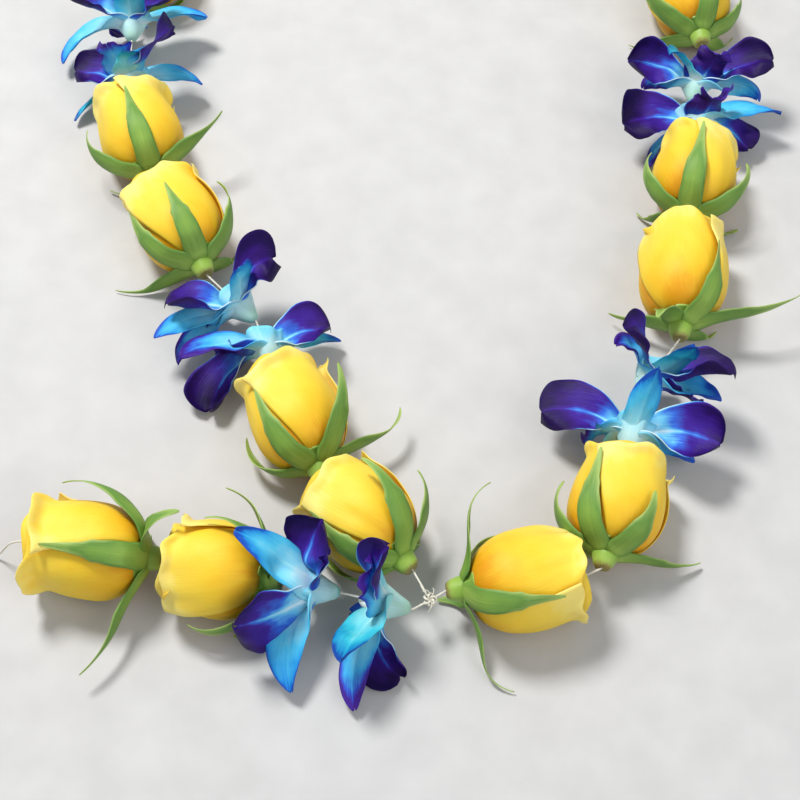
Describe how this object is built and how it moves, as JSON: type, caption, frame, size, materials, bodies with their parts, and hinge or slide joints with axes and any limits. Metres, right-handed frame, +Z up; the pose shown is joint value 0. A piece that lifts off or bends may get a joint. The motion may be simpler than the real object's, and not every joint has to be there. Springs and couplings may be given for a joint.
{
  "type": "flower lei",
  "caption": "Fresh flower lei of yellow rosebuds and blue orchid blooms in alternating pairs on one thread, knotted into a loop with a short hanging tail.",
  "frame": {"origin": "middle of the bottom of the lei's box, without its loose thread end, on the surface that it lies on", "axes": "+Z up from the surface, +Y from the knot towards the back of the neck, +X to the right as seen from the knot's side"},
  "size_m": [0.3395, 0.463, 0.0452],
  "materials": {
    "rose_petal": "soft yellow petals, waxy and faintly translucent",
    "rose_green": "fresh green sepals and hip, matte",
    "orchid_petal": "dyed blue and violet petals with darker veins and edges, slightly waxy",
    "thread": "undyed twisted cotton"
  },
  "bodies": {
    "root": {"thread": "thread", "thread_end": "thread", "thread_end_knot": "thread", "rose_left_1_petals": "rose_petal", "rose_left_1_calyx": "rose_green", "rose_left_2_petals": "rose_petal", "rose_left_2_calyx": "rose_green", "orchid_left_1": "orchid_petal", "orchid_left_2": "orchid_petal", "rose_left_3_petals": "rose_petal", "rose_left_3_calyx": "rose_green", "rose_left_4_petals": "rose_petal", "rose_left_4_calyx": "rose_green", "orchid_left_3": "orchid_petal", "orchid_left_4": "orchid_petal", "rose_left_5_petals": "rose_petal", "rose_left_5_calyx": "rose_green", "rose_left_6_petals": "rose_petal", "rose_left_6_calyx": "rose_green", "orchid_left_5": "orchid_petal", "orchid_left_6": "orchid_petal", "rose_left_7_petals": "rose_petal", "rose_left_7_calyx": "rose_green", "rose_right_1_petals": "rose_petal", "rose_right_1_calyx": "rose_green", "rose_right_2_petals": "rose_petal", "rose_right_2_calyx": "rose_green", "orchid_right_1": "orchid_petal", "orchid_right_2": "orchid_petal", "rose_right_3_petals": "rose_petal", "rose_right_3_calyx": "rose_green", "rose_right_4_petals": "rose_petal", "rose_right_4_calyx": "rose_green", "orchid_right_3": "orchid_petal", "orchid_right_4": "orchid_petal", "rose_right_5_petals": "rose_petal", "rose_right_5_calyx": "rose_green", "rose_right_6_petals": "rose_petal", "rose_right_6_calyx": "rose_green", "orchid_right_5": "orchid_petal", "orchid_right_6": "orchid_petal", "rose_right_7_petals": "rose_petal", "rose_right_7_calyx": "rose_green", "orchid_tail_1": "orchid_petal", "orchid_tail_2": "orchid_petal", "rose_tail_1_petals": "rose_petal", "rose_tail_1_calyx": "rose_green", "rose_tail_2_petals": "rose_petal", "rose_tail_2_calyx": "rose_green"}
  },
  "joints": []
}
